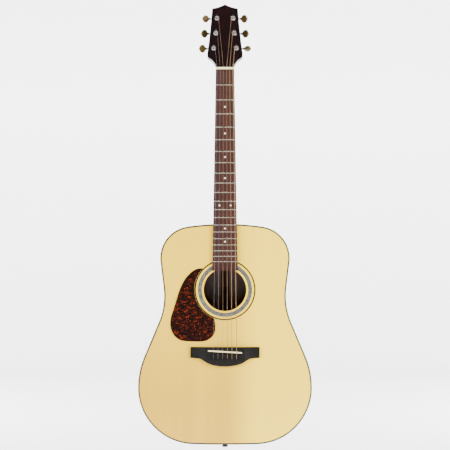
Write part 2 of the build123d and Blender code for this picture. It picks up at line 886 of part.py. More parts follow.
def head_face_level():
    """Height of the veneer's face above the worm shaft."""
    return -worm_level + veneer_thickness


def string_post():
    """A turned post with a flared top, a narrow waist for the string and a foot for the gear."""
    face = head_face_level()
    tip = face + post_height
    gear_half = gear_thickness / 2
    profile = make_face(
        [
            Polyline(
                (0, -gear_half - 1.2),
                (post_foot_radius, -gear_half - 1.2),
                (post_foot_radius, gear_half),
                (post_radius, gear_half),
                (post_radius, face + 6.2),
            ),
            Spline(
                (post_radius, face + 6.2),
                (post_radius - 0.45, face + string_hole_height),
                (post_radius, tip - 2.2),
            ),
            Polyline((post_radius, tip - 2.2), (post_radius, tip - 0.9), (post_radius - 0.9, tip), (0, tip)),
            Line((0, tip), (0, -gear_half - 1.2)),
        ]
    )
    turned = revolve(Plane.XZ * profile, Axis.Z, 360)
    hole = Pos(0, 0, face + string_hole_height) * Rot(0, 90, 0)
    return turned - hole * Cylinder(string_hole_radius, 4 * post_radius)


def post_gear():
    """The gear on the post's foot, its straight teeth thin enough to clear the worm's thread."""
    root = gear_pitch_radius - gear_dedendum
    tip = gear_pitch_radius + gear_addendum
    wide, thin = gear_tooth_root_width / 2, gear_tooth_tip_width / 2
    disc = Circle(root)
    corners = ((root - 0.3, -wide), (tip, -thin), (tip, thin), (root - 0.3, wide))
    tooth = make_face(Polyline(*corners, close=True))
    for number in range(gear_teeth):
        disc += Rot(0, 0, 90 + number * 360 / gear_teeth) * tooth
    disc -= Circle(post_foot_radius)
    return prism(disc, -gear_thickness / 2, gear_thickness / 2)


def worm_shaft():
    """The shaft with its worm, which turns the gear and carries the button on its outer end."""
    core = worm_pitch_radius - worm_dedendum
    crest = worm_pitch_radius + worm_addendum
    along = Plane(origin=(0, worm_offset, 0), x_dir=(0, 1, 0), z_dir=(1, 0, 0))
    length = 2 * worm_half_length
    helix = Helix(pitch=worm_pitch, height=length, radius=core)
    start = Plane(origin=helix @ 0, x_dir=(1, 0, 0), z_dir=helix % 0)
    depth = crest - core
    wide, thin = worm_thread_root_width / 2, worm_thread_tip_width / 2
    ridge = make_face(Polyline((-0.2, -wide), (depth, -thin), (depth, thin), (-0.2, wide), close=True))
    thread = sweep(start * ridge, path=helix, is_frenet=True)
    rod = Pos(0, 0, -1.2) * Cylinder(core, length + 2.4, align=(Align.CENTER, Align.CENTER, Align.MIN))
    worm = Rot(0, 0, worm_phase) * Pos(0, 0, -worm_half_length) * (thread + rod)
    journal_start = -worm_half_length - 1.2
    journal = Pos(0, 0, journal_start - 1.6) * Cylinder(1.2, 1.6, align=(Align.CENTER, Align.CENTER, Align.MIN))
    neck_start = worm_half_length + 1.2
    outer = button_distance + 1.5 - neck_start
    shaft = Pos(0, 0, neck_start) * Cylinder(
        worm_shaft_radius, outer, align=(Align.CENTER, Align.CENTER, Align.MIN)
    )
    return along * (worm + journal + shaft)


def button(rest_angle):
    """The oval button, its collar and the small screw in its outer end, turned to its rest angle."""
    oval = Ellipse(button_length / 2, button_width / 2)
    body = extrude(oval, amount=button_thickness / 2, both=True)
    body = fillet(body.edges(), button_edge_radius)
    collar = Rot(0, 90, 0) * Cone(2.4, 3.4, 5.5)
    body += Pos(-button_length / 2 - 0.6, 0, 0) * collar
    bore = Rot(0, 90, 0) * Cylinder(worm_shaft_radius, 2 * (button_length / 2 + 3.4))
    bore_end = 1.5
    body -= Pos(bore_end - button_length / 2 - 3.4, 0, 0) * bore
    screw_hole = Rot(0, 90, 0) * Cylinder(button_screw_radius, 2 * button_length)
    body -= Pos(button_length + bore_end, 0, 0) * screw_hole
    screw_length = button_length / 2 - bore_end
    screw = Rot(0, 90, 0) * Cylinder(button_screw_radius, screw_length)
    screw = Pos(bore_end + screw_length / 2, 0, 0) * screw
    head = Pos(button_length / 2 + 0.5, 0, 0) * Rot(0, 90, 0) * Cylinder(button_screw_head_radius, 1.0)
    body -= head
    slot = Pos(button_length / 2 + 1.0, 0, 0) * Box(1.0, screw_slot_width, 4 * button_screw_head_radius)
    at_rest = Pos(button_distance, worm_offset, 0) * Rot(rest_angle, 0, 0)
    return [at_rest * body, at_rest * (screw + head - slot)]


def tuner_housing():
    """A die-cast case with the gear's and the worm's chambers, open on the side against the wood."""
    half = housing_depth / 2
    barrel_length = housing_outer_end + housing_radius
    case = Cylinder(housing_radius, housing_depth)
    case = fillet(case.edges().group_by(Axis.Z)[0], housing_rounding)
    barrel = Rot(0, 90, 0) * Cylinder(housing_barrel_radius, barrel_length)
    case += Pos(housing_outer_end - barrel_length / 2, worm_offset, 0) * barrel
    lug_face = Pos(0, -housing_lug_distance / 2) * Rectangle(housing_lug_width, housing_lug_distance)
    lug_face += Pos(0, -housing_lug_distance) * Circle(housing_lug_width / 2)
    case += prism(lug_face, half - housing_lug_thickness, half)
    case -= prism(Circle(gear_pitch_radius + 1.1), -gear_thickness / 2 - 0.4, half)
    case -= Pos(0, 0, -gear_thickness) * Cylinder(post_foot_radius + 0.1, gear_thickness)
    chamber = Rot(0, 90, 0) * Cylinder(worm_pitch_radius + 0.9, 2 * worm_half_length + 2.8)
    case -= Pos(0, worm_offset, 0) * chamber
    bore = Rot(0, 90, 0) * Cylinder(worm_shaft_radius + running_clearance, 2 * housing_outer_end)
    case -= Pos(housing_outer_end, worm_offset, 0) * bore
    blind = Rot(0, 90, 0) * Cylinder(1.2 + running_clearance, 2)
    case -= Pos(-worm_half_length - 2.2, worm_offset, 0) * blind
    return case - tuner_screw(head=False)


def tuner_screw(head=True):
    """The small screw that holds the case's lug against the back of the headstock."""
    seat = Pos(0, -housing_lug_distance, housing_depth / 2 - housing_lug_thickness)
    screw = Pos(0, 0, tuner_screw_length / 2) * Cylinder(tuner_screw_radius, tuner_screw_length)
    if head:
        height = tuner_screw_head_height
        screw += Pos(0, 0, -height / 2) * Cylinder(tuner_screw_head_radius, height)
        screw -= Pos(0, 0, -height) * Box(4 * tuner_screw_head_radius, screw_slot_width, height)
    return seat * screw


def tuner_screws():
    return placed_on_all(tuner_screw)


def bushing():
    """The threaded sleeve and hexagon that clamp the case from the front."""
    face = head_face_level()
    sleeve_length = head_thickness * 0.6 + veneer_thickness
    sleeve = Cylinder(bushing_sleeve_radius, sleeve_length, align=(Align.CENTER, Align.CENTER, Align.MAX))
    sleeve = Pos(0, 0, face + washer_thickness) * sleeve
    hexagon = extrude(RegularPolygon(bushing_hex_width / 2, 6, major_radius=False), amount=bushing_height)
    cone = Cone(bushing_hex_width * 0.72, bushing_hex_width * 0.42, bushing_height)
    hexagon = hexagon & Pos(0, 0, bushing_height / 2) * cone
    body = sleeve + Pos(0, 0, face + washer_thickness) * hexagon
    bore = Cylinder(post_radius + running_clearance, 60)
    return body - Pos(0, 0, face) * bore


def washer():
    face = head_face_level()
    flat = Circle(washer_radius) - Circle(bushing_sleeve_radius)
    return prism(flat, face, face + washer_thickness)


# Bridge and strings -----------------------------------------------------------------------------------


def saddle_line_y(x):
    """Where the slanted saddle's middle lies, which gives the bass strings more length."""
    return saddle_y - x * tan(radians(saddle_slant))


def bridge_outline():
    """A straight front edge, straight wings, and a belly that swells back behind the strings."""
    half = bridge_width / 2
    front = saddle_y + bridge_front
    wing = Vector(half, saddle_y - bridge_wing_back)
    fall = wing.Y - bridge_rear_y
    wing_end = Vector(half * 0.78, wing.Y - 0.08 * fall)
    lower = Spline(
        wing_end,
        (half * 0.6, wing.Y - 0.4 * fall),
        (half * 0.44, wing.Y - 0.74 * fall),
        (half * 0.22, wing.Y - 0.93 * fall),
        (0, bridge_rear_y),
        tangents=[wing_end - wing, (-1, 0)],
    )
    right = [Line((half, front), wing), Line(wing, wing_end), lower]
    return make_face(right + [mirror(edge, about=Plane.YZ) for edge in right] + [Line((-half, front), (half, front))])


def ball_tunnel(index):
    """The string's bore through the bridge and the wider seat of its ball."""
    start, bend = string_points(index)[:2]
    way = (bend - start).normalized()
    seat = Plane(origin=start + way * (ball_length / 2), z_dir=-way)
    return seat * Cylinder(ball_radius + 0.15, 40, align=(Align.CENTER, Align.CENTER, Align.MIN))


def bridge(cutters):
    """The pinless bridge: thin wings, a slot for the saddle, and a trough that the strings come out of."""
    block = prism(bridge_outline(), 0, bridge_height)
    block = fillet(block.edges().group_by(Axis.Z)[-1], bridge_edge_rounding)
    half = bridge_width / 2
    drop = bridge_height - bridge_wing_tip_height
    reach = half * 0.42
    scoop_radius = (reach**2 + drop**2) / (2 * drop)
    for side in (-1, 1):
        centre = Pos(side * half, saddle_y, bridge_wing_tip_height + scoop_radius)
        block -= centre * Rot(90, 0, 0) * Cylinder(scoop_radius, 4 * bridge_belly_back)
    slot = Box(saddle_length, saddle_width, 2 * saddle_slot_depth)
    block -= Pos(0, saddle_y, bridge_height) * Rot(0, 0, -saddle_slant) * slot
    span = string_span_at_saddle + 12
    trough_start = saddle_y - bridge_trough_start
    trough = box(
        (-span / 2, span / 2),
        (trough_start - bridge_trough_length, trough_start),
        (bridge_trough_floor, 2 * bridge_height),
    )
    trough = fillet(trough.edges().filter_by(Axis.Z), 3.0)
    block -= trough
    for index, cutter in enumerate(cutters):
        block -= cutter
        block -= ball_tunnel(index)
    return block


def saddle(cutters):
    """The slanted strip under the strings, its top rounded like the fingerboard."""
    half, slot_floor = saddle_length / 2, bridge_height - saddle_slot_depth
    end_height = saddle_top_height - board_fall(half)
    face = make_face(
        [
            Polyline((-half, end_height), (-half, slot_floor), (half, slot_floor), (half, end_height)),
            ThreePointArc((half, end_height), (0, saddle_top_height), (-half, end_height)),
        ]
    )
    strip = extrude(Plane.XZ * face, amount=saddle_width / 2, both=True)
    top_edges = [edge for edge in strip.edges() if edge.length > half and edge.center().Z > bridge_height]
    strip = Pos(0, saddle_y, 0) * Rot(0, 0, -saddle_slant) * fillet(top_edges, saddle_width * 0.42)
    for cutter in cutters:
        strip -= cutter
    return strip


def string_points(index):
    """Ball, saddle, nut and post: the corners of a string's centre line."""
    gauge = string_gauges[index]
    share = index / (len(string_gauges) - 1) - 0.5
    saddle_x = share * string_span_at_saddle
    nut_x = share * string_span_at_nut
    saddle_height = saddle_top_height - board_fall(saddle_x) - string_seat_depth + gauge / 2
    at_saddle = Vector(saddle_x, saddle_line_y(saddle_x), saddle_height)
    at_nut = Vector(nut_x, nut_y + 1.5, string_height_at_nut - board_fall(nut_x) + gauge / 2)
    behind = abs(saddle_x) / (bridge_width / 2)
    start_y = saddle_y - bridge_belly_back + 4.2 + 12 * behind**2
    start = Vector(saddle_x, start_y, bridge_trough_floor + 0.4)
    return [start, at_saddle, at_nut, post_contact(index, at_nut)]


def post_of_string(index):
    """The machine's number for a string: the outer strings go to the nearest posts."""
    return index if index < 3 else 8 - index


def post_contact(index, at_nut):
    """The point where the string meets its post's windings, on the side towards the middle."""
    gauge = string_gauges[index]
    side, frame = tuner_frames()[post_of_string(index)]
    plane = head_plane()
    centre = plane.to_local_coords(frame.position)
    nut_point = plane.to_local_coords(at_nut)
    radius = post_radius + gauge / 2 + string_gap_at_post
    way = Vector(centre.X - nut_point.X, centre.Y - nut_point.Y)
    turn = asin(radius / way.length)
    length = sqrt(way.length**2 - radius**2)
    angle = atan2(way.Y, way.X) + (turn if side > 0 else -turn)
    height = veneer_thickness + lowest_wrap_height
    touch = Vector(nut_point.X + length * cos(angle), nut_point.Y + length * sin(angle), height)
    return plane.from_local_coords(touch)


def string_line(index):
    return FilletPolyline(*string_points(index), radius=string_bend_radius)


def string_tube(index, extra=0.0):
    line = string_line(index)
    section = Plane(origin=line @ 0, z_dir=line % 0) * Circle(string_gauges[index] / 2 + extra)
    return sweep(section, path=line)


def ball_end(index):
    start, bend = string_points(index)[:2]
    seat = Plane(origin=start, z_dir=(bend - start).normalized())
    barrel = seat * Cylinder(ball_radius, ball_length)
    return barrel - string_tube(index)


# Pickguard and strap button ---------------------------------------------------------------------------


def pickguard():
    """A plate on the treble side whose inner edge follows the rosette's outer ring and which clears the bridge."""
    ring_edge = rosette_ring_radius + rosette_ring_width + pickguard_gap
    free_edge = Spline(*pickguard_edge)
    blank = make_face([free_edge, Line(free_edge @ 1, free_edge @ 0)])
    room_length = bridge_front + bridge_belly_back + pickguard_bridge_gap
    room = Rectangle(bridge_width + 2 * pickguard_bridge_gap, room_length, align=(Align.CENTER, Align.MIN))
    bridge_room = Pos(0, bridge_rear_y - sound_hole_y) * room
    face = max((blank - Circle(ring_edge) - bridge_room).faces(), key=lambda piece: piece.area)
    plate = prism(Pos(0, sound_hole_y) * face, 0, pickguard_thickness)
    return chamfer(plate.edges().group_by(Axis.Z)[-1], pickguard_edge_rounding)


def strap_peg():
    """The strap button's peg, and the hole for it in the tail."""
    length = strap_button_peg_length
    middle = Pos(0, length / 2, strap_axis_z)
    return middle * Rot(90, 0, 0) * Cylinder(strap_button_peg_radius, length)


def tail_strap_button():
    """A turned button whose head the strap's hole slips over."""
    stand, head = strap_button_stand, strap_button_head_length
    profile = make_face(
        [
            Polyline((0, 0), (strap_button_foot_radius, 0), (strap_button_foot_radius, -1.2)),
            Spline(
                (strap_button_foot_radius, -1.2),
                (strap_button_waist_radius, -(stand - head) * 0.58),
                (strap_button_head_radius, -(stand - head)),
            ),
            Polyline(
                (strap_button_head_radius, -(stand - head)),
                (strap_button_head_radius, -stand),
                (0, -stand),
                (0, 0),
            ),
        ]
    )
    turned = revolve(profile, Axis.Y, 360)
    return Pos(0, 0, strap_axis_z) * turned + strap_peg()


# Assembly ---------------------------------------------------------------------------------------------


def machine_name(number):
    """Machines 1 to 3 go up the treble side from the nut, and 4 to 6 go up the bass side."""
    return str(number + 1)


def assemble():
    """Every piece by its node's name; a list holds the separate solids of one node."""
    strings = [string_tube(index) for index in range(len(string_gauges))]
    grooves = [string_tube(index, string_clearance) for index in range(len(string_gauges))]
    x_bars = x_brace()
    plate = bridge_plate(x_bars)
    back_bars = back_braces()
    treble_side, bass_side = sides()
    pieces = {
        "soundboard": soundboard(),
        "rosette": rosette(),
        "back_plate": back_plate(),
        "treble_side": treble_side,
        "bass_side": bass_side,
        "bindings": bindings(),
        "linings": linings(),
        "neck_block": neck_block(),
        "tail_block": tail_block(),
        "x_brace": x_bars,
        "top_braces": top_braces(x_bars, plate),
        "bridge_plate": plate,
        "back_braces": back_bars,
        "back_centre_strip": back_centre_strip(back_bars),
        "neck": neck(),
        "heel_cap": heel_cap(),
        "fingerboard": fingerboard(),
        "frets": frets(),
        "position_dots": position_dots(),
        "nut": nut(grooves),
        "headstock_veneer": headstock_veneer(),
        "truss_rod": truss_rod(),
        "truss_rod_nut": truss_rod_nut(),
        "bridge": bridge(grooves),
        "saddle": saddle(grooves),
        "pickguard": pickguard(),
        "tail_strap_button": tail_strap_button(),
        "tuner_housings": placed_on_all(tuner_housing),
        "tuner_bushings": placed_on_all(bushing) + placed_on_all(washer),
        "tuner_screws": tuner_screws(),
    }
    for index, tube in enumerate(strings):
        pieces[f"string_{index + 1}"] = [tube, ball_end(index)]
    for number, (side, frame) in enumerate(tuner_frames()):
        name = machine_name(number)
        pieces[f"string_post_{name}"] = place_tuner(string_post(), side, frame)
        pieces[f"post_gear_{name}"] = place_tuner(post_gear(), side, frame)
        pieces[f"worm_shaft_{name}"] = place_tuner(worm_shaft(), side, frame)
        parts = button(button_rest_angles[number])
        pieces[f"tuning_button_{name}"] = [place_tuner(part, side, frame) for part in parts]
    return pieces


def main():
    os.makedirs("parts", exist_ok=True)
    for name, shape in assemble().items():
        solids = [s for item in (shape if isinstance(shape, list) else [shape]) for s in item.solids()]
        export_step(to_row(Compound(children=solids) if len(solids) > 1 else solids[0]), f"parts/{name}.step")


if __name__ == "__main__":
    main()
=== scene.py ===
"""Finishes, string windings and studio for the left-handed acoustic guitar."""

import json
import math

import bmesh
import bpy
from bpy.props import FloatProperty, FloatVectorProperty, IntProperty, PointerProperty
from bpy.types import Operator, Panel, PropertyGroup
from mathutils import Matrix, Vector


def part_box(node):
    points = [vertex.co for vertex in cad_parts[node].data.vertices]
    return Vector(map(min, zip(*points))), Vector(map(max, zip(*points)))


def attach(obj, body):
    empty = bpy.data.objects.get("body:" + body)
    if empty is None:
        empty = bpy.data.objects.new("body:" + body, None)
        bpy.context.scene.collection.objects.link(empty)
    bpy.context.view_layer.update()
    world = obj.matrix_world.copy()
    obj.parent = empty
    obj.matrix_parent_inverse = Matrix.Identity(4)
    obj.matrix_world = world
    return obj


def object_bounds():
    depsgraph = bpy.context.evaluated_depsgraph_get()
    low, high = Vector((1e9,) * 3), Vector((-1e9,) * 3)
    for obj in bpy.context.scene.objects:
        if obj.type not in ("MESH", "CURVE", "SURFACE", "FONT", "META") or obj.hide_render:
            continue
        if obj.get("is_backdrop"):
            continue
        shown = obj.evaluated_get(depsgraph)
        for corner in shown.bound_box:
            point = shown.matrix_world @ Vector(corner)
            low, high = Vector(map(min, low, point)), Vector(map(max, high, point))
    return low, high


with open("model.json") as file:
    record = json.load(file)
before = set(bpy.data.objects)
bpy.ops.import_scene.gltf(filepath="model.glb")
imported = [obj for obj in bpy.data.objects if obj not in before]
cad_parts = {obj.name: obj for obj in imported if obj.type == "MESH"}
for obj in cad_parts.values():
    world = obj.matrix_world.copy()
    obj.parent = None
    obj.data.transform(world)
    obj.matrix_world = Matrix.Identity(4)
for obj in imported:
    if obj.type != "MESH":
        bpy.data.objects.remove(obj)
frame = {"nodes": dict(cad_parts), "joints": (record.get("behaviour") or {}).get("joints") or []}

bl_info = {
    "name": "Left-handed acoustic guitar",
    "version": (1, 0, 0),
    "blender": (4, 5, 0),
    "location": "3D View > Sidebar > Guitar",
    "description": "Wood, plastic and metal finishes, string windings and a studio for the guitar",
    "category": "Object",
}

MM = 0.001
STRINGS = 6


def linear(hex_colour):
    """An sRGB hex colour as linear red, green and blue with full alpha."""
    channels = [int(hex_colour[i : i + 2], 16) / 255 for i in (1, 3, 5)]
    return (*(c / 12.92 if c <= 0.04045 else ((c + 0.055) / 1.055) ** 2.4 for c in channels), 1.0)


def colour(label, text, hex_colour):
    """A colour property whose default is an sRGB hex colour."""
    return FloatVectorProperty(
        name=label, description=text, subtype="COLOR", size=4, min=0, max=1, default=linear(hex_colour)
    )


class GuitarWoods(PropertyGroup):
    """Colours of the woods."""

    spruce: colour("Spruce", "Early wood of the soundboard", "#F7D52C")
    spruce_line: colour("Spruce rings", "Late wood lines of the soundboard", "#E2B41C")
    # Spruce amber: the darker amber that the treble half of the soundboard is painted, most of all near the
    # tail.
    spruce_amber: colour("Ambered spruce", "Where the lacquer has yellowed most", "#B98C0E")
    spruce_inside: colour("Bare spruce", "Unfinished bars inside the body", "#C9A46A")
    mahogany: colour("Mahogany", "Lit wood of the back, the sides and the neck", "#6A2C17")
    mahogany_deep: colour("Mahogany, dark", "Dark ribbons of the back, the sides and the neck", "#38150B")
    pores: colour("Pores", "Filled pores of the dark woods", "#120603")
    cedar: colour("Cedar", "Linings inside the body", "#9A6A40")
    maple: colour("Maple", "Plate under the bridge", "#CDAF7C")
    rosewood: colour("Rosewood", "Lit wood of the fingerboard", "#34100C")
    rosewood_deep: colour("Rosewood, dark", "Dark figure of the fingerboard", "#1E0806")
    veneer: colour("Headstock face", "Wood of the headstock's face", "#150406")
    veneer_deep: colour("Headstock face, dark", "Dark figure of the headstock's face", "#080303")
    ebony: colour("Bridge wood", "Wood of the bridge", "#12100D")
    ebony_deep: colour("Bridge wood, dark", "Dark figure of the bridge", "#080706")


class GuitarTrim(PropertyGroup):
    """Colours of the plastics, bone and metals."""

    binding: colour("Binding", "Plastic strip round the body's edges", "#121012")
    bone: colour("Bone", "Nut and saddle", "#E4D49C")
    pearl: colour("Dots", "Position dots", "#E9E6DC")
    shell_dark: colour("Pickguard, dark", "Dark clouds of the pickguard", "#050302")
    shell_red: colour("Pickguard, red", "Red-brown clouds of the pickguard", "#310B04")
    shell_orange: colour("Pickguard, orange", "Brightest spots of the pickguard", "#7A2A08")
    band: colour("Rosette band", "Pearly band of the rosette", "#62645F")
    band_deep: colour("Rosette band, dark", "Dark flakes of the band", "#33383C")
    band_inside: FloatProperty(
        name="Band inside",
        description="Inner radius of the pearly band",
        default=54.5 * MM,
        unit="LENGTH",
    )
    band_outside: FloatProperty(
        name="Band outside",
        description="Outer radius of the pearly band",
        default=61.3 * MM,
        unit="LENGTH",
    )
    rosette_line: colour("Rosette lines", "Lines beside the band", "#0C0B0F")
    gold: colour("Tuner plating", "Antique gold of the cases and buttons", "#4C3D22")
    chrome: colour("Chrome", "Posts and bushings", "#B4B4B8")
    nickel: colour("Fret wire", "Nickel silver of the frets", "#A9A598")
    brass: colour("Brass", "Gears", "#B48A4A")
    steel: colour("Steel", "Worm shafts, screws and truss rod", "#8C8C8E")
    plain_string: colour("Plain strings", "Tinned steel of the two thinnest strings", "#7D766E")
    wound_string: colour("Wound strings", "Bronze wrap of the four thicker strings", "#826A4E")


class GuitarWindings(PropertyGroup):
    """Sizes of the string windings on the posts."""

    wrap_gap: FloatProperty(
        name="Wrap pitch",
        description="Pitch of the wraps in string diameters",
        default=1.06,
        min=1,
        max=2,
    )
    most_turns: IntProperty(
        name="Most turns", description="Turns that a thin string makes", default=6, min=1
    )
    hole_height: FloatProperty(
        name="Hole height",
        description="From the worm's level up to the hole in the post",
        default=30.9 * MM,
        unit="LENGTH",
    )
    bend_gap: FloatProperty(
        name="Bend gap",
        description="Space inside the string's bend into the hole",
        default=0.3 * MM,
        unit="LENGTH",
    )
    tail_length: FloatProperty(
        name="Tail", description="String left over beyond the post", default=2.5 * MM, unit="LENGTH"
    )


class GuitarStudio(PropertyGroup):
    """Camera, floor and lights."""

    camera_distance: FloatProperty(
        name="Camera distance",
        description="From the lens to the soundboard",
        default=4.0,
        unit="LENGTH",
    )
    picture_height: FloatProperty(
        name="Picture height",
        description="What the picture takes in at the soundboard",
        default=1.035,
        unit="LENGTH",
    )
    camera_height: FloatProperty(
        name="Camera height",
        description="Height of the lens over the strap button",
        default=0.5159,
        unit="LENGTH",
    )
    key_power: FloatProperty(
        name="Key light", description="Power of the large front lights", default=310.0, unit="POWER"
    )
    paper_power: FloatProperty(
        name="Paper light",
        description="Power of each light on the paper behind",
        default=320.0,
        unit="POWER",
    )
    fill_strength: FloatProperty(
        name="Fill", description="Strength of the light from all round", default=0.2
    )
    fill: colour("Fill light", "Light from all round", "#FFFFFF")
    floor_drop: FloatProperty(
        name="Floor drop",
        description="From the guitar's lowest point down to the floor",
        default=0.12,
        unit="LENGTH",
    )
    floor_half_width: FloatProperty(
        name="Floor half width", description="Half of the paper's width", default=6.0, unit="LENGTH"
    )
    floor_front: FloatProperty(
        name="Floor front",
        description="From the guitar to the paper's front edge",
        default=2.2,
        unit="LENGTH",
    )
    floor_back: FloatProperty(
        name="Floor back",
        description="From the guitar to where the paper turns up",
        default=3.5,
        unit="LENGTH",
    )
    floor_bend: FloatProperty(
        name="Floor bend",
        description="Radius of the bend where the paper turns up",
        default=1.2,
        unit="LENGTH",
    )
    wall_rise: FloatProperty(
        name="Wall rise", description="Paper above the bend", default=5.0, unit="LENGTH"
    )
    floor: colour("Floor", "Paper under and behind the guitar", "#FFFFFF")


GROUPS = (GuitarWoods, GuitarTrim, GuitarWindings, GuitarStudio)


def add_node(tree, kind, links=None, stops=None, **settings):
    """Adds a node with its settings, its inputs' values or links, and a ramp's stops."""
    node = tree.nodes.new(kind)
    for name, value in settings.items():
        setattr(node, name, value)
    for socket, value in (links or {}).items():
        if isinstance(value, bpy.types.NodeSocket):
            tree.links.new(value, node.inputs[socket])
        else:
            node.inputs[socket].default_value = value
    if stops:
        elements = node.color_ramp.elements
        while len(elements) < len(stops):
            elements.new(0.5)
        for element, (position, value) in zip(elements, stops):
            element.position, element.color = position, value
    return node


def new_material(label, **shader_values):
    """An empty material with a Principled shader, and its tree and shader."""
    material = bpy.data.materials.new(label)
    material.use_nodes = True
    tree = material.node_tree
    tree.nodes.clear()
    values = {name.replace("_", " "): value for name, value in shader_values.items()}
    shader = add_node(tree, "ShaderNodeBsdfPrincipled", values)
    add_node(tree, "ShaderNodeOutputMaterial", {"Surface": shader.outputs["BSDF"]})
    return material, tree, shader


def feed(tree, shader, **sockets):
    """Links outputs to the shader's inputs."""
    for name, output in sockets.items():
        tree.links.new(output, shader.inputs[name.replace("_", " ")])


def paint(material, *nodes):
    """Gives CAD nodes a material."""
    for name in nodes:
        mesh = frame["nodes"][name].data
        mesh.materials.clear()
        mesh.materials.append(material)


def fibres(tree, scale, **noise):
    """Noise on Object coordinates that is stretched by its own scale along each axis."""
    place = add_node(tree, "ShaderNodeTexCoord")
    stretch = add_node(tree, "ShaderNodeMapping", {"Vector": place.outputs["Object"], "Scale": scale})
    return add_node(tree, "ShaderNodeTexNoise", {"Vector": stretch.outputs["Vector"], "Scale": 1.0, **noise})


def mixed(tree, factor, first, second):
    """Two colours mixed by a factor."""
    return add_node(tree, "ShaderNodeMix", {0: factor, 6: first, 7: second}, data_type="RGBA").outputs[2]


def shaded(tree, tone, pattern, dark, light, low=0.3, high=0.7):
    """A colour times a factor, which runs from dark to light while the pattern runs from low to high."""
    factor = add_node(
        tree, "ShaderNodeMapRange", {"Value": pattern.outputs["Fac"], 1: low, 2: high, 3: dark, 4: light}
    )
    links = {0: tone, "Scale": factor.outputs["Result"]}
    return add_node(tree, "ShaderNodeVectorMath", links, operation="SCALE").outputs["Vector"]


def figured_wood(name, light, dark, pores, across, along, shader_values, pore_share=0.12):
    """A dark open-pored wood: ribbons of two colours with short pores along the grain."""
    material, tree, shader = new_material(name, **shader_values)
    stretched = [a * s for a, s in zip(across, along)]
    ribbons = fibres(tree, [110 * s for s in stretched], Detail=3.0, Roughness=0.55, Distortion=0.3)
    threads = fibres(tree, [900 * s for s in stretched], Detail=2.0)
    blend = add_node(
        tree,
        "ShaderNodeValToRGB",
        {"Fac": ribbons.outputs["Fac"]},
        stops=[(0.3, dark), (0.68, light)],
    )
    grained = shaded(tree, blend.outputs["Color"], threads, 0.82, 1.1)
    short = [a * (2600 if s == 1 else 2600 * s * 1.4) for a, s in zip(across, along)]
    specks = fibres(tree, short, Detail=1.0)
    narrower = pore_share / 4
    pore = add_node(
        tree,
        "ShaderNodeMapRange",
        {"Value": specks.outputs["Fac"], 1: 0.62 + narrower, 2: 0.7 + narrower, 3: 0.0, 4: 0.75},
    )
    feed(tree, shader, Base_Color=mixed(tree, pore.outputs["Result"], grained, pores))
    return material


class GUITAR_OT_soundboard(Operator):
    """Finish the spruce front with book-matched growth rings under clear gloss lacquer"""

    bl_idname = "guitar.soundboard"
    bl_label = "Soundboard"

    def execute(self, context):
        woods = context.scene.guitar_woods
        # Sitka spruce, quarter-sawn and lacquered: fine straight rings 1 to 2 mm apart that mirror at the
        # centre joint, a slow drift from cream to honey, and a hard clear shine over a matt wood.
        material, tree, shader = new_material(
            "lacquered_spruce", Roughness=0.35, Coat_Weight=0.3, Coat_Roughness=0.1, Coat_IOR=1.5
        )
        place = add_node(tree, "ShaderNodeTexCoord")
        apart = add_node(tree, "ShaderNodeSeparateXYZ", {"Vector": place.outputs["Object"]})
        side = add_node(tree, "ShaderNodeMath", {0: apart.outputs["X"]}, operation="ABSOLUTE")
        length = add_node(tree, "ShaderNodeMath", {0: apart.outputs["Z"], 1: 0.03}, operation="MULTIPLY")
        matched = add_node(
            tree,
            "ShaderNodeCombineXYZ",
            {"X": side.outputs["Value"], "Y": 0.0, "Z": length.outputs["Value"]},
        )
        # A wave's period is 0.314 m over its scale, so 190 puts the rings 1.65 mm apart.
        rings = add_node(
            tree,
            "ShaderNodeTexWave",
            {
                "Vector": matched.outputs["Vector"],
                "Scale": 190.0,
                "Distortion": 7.0,
                "Detail": 2.0,
                "Detail Scale": 0.22,
            },
            bands_direction="X",
            wave_profile="SAW",
        )
        ring_shade = add_node(
            tree,
            "ShaderNodeValToRGB",
            {"Fac": rings.outputs["Fac"]},
            stops=[(0.0, woods.spruce), (0.6, woods.spruce), (0.94, woods.spruce_line), (1.0, woods.spruce)],
        )
        drift = add_node(
            tree,
            "ShaderNodeTexNoise",
            {"Vector": matched.outputs["Vector"], "Scale": 28.0, "Detail": 2.0},
        )
        drift_shade = add_node(
            tree, "ShaderNodeMapRange", {"Value": drift.outputs["Fac"], 1: 0.3, 2: 0.7, 3: 0.0, 4: 0.35}
        )
        threads = fibres(tree, (1400.0, 200.0, 18.0), Detail=2.0)
        # The treble half is painted a darker amber than the other half, most of all near the tail.
        treble_half = add_node(
            tree,
            "ShaderNodeMapRange",
            {"Value": apart.outputs["X"], 1: 0.0, 2: 0.08, 3: 0.5, 4: 0.04},
            interpolation_type="SMOOTHSTEP",
        )
        near_tail = add_node(
            tree,
            "ShaderNodeMapRange",
            {"Value": apart.outputs["Z"], 1: 0.08, 2: 0.4, 3: 1.75, 4: 0.85},
            interpolation_type="SMOOTHSTEP",
        )
        amber = add_node(
            tree,
            "ShaderNodeMath",
            {0: treble_half.outputs["Result"], 1: near_tail.outputs["Result"]},
            operation="MULTIPLY",
        )
        treble_amber = mixed(tree, amber.outputs["Value"], ring_shade.outputs["Color"], woods.spruce_amber)
        drifted = mixed(tree, drift_shade.outputs["Result"], treble_amber, woods.spruce_line)
        feed(tree, shader, Base_Color=shaded(tree, drifted, threads, 0.955, 1.02, 0.25, 0.75))
        paint(material, "soundboard")
        return {"FINISHED"}


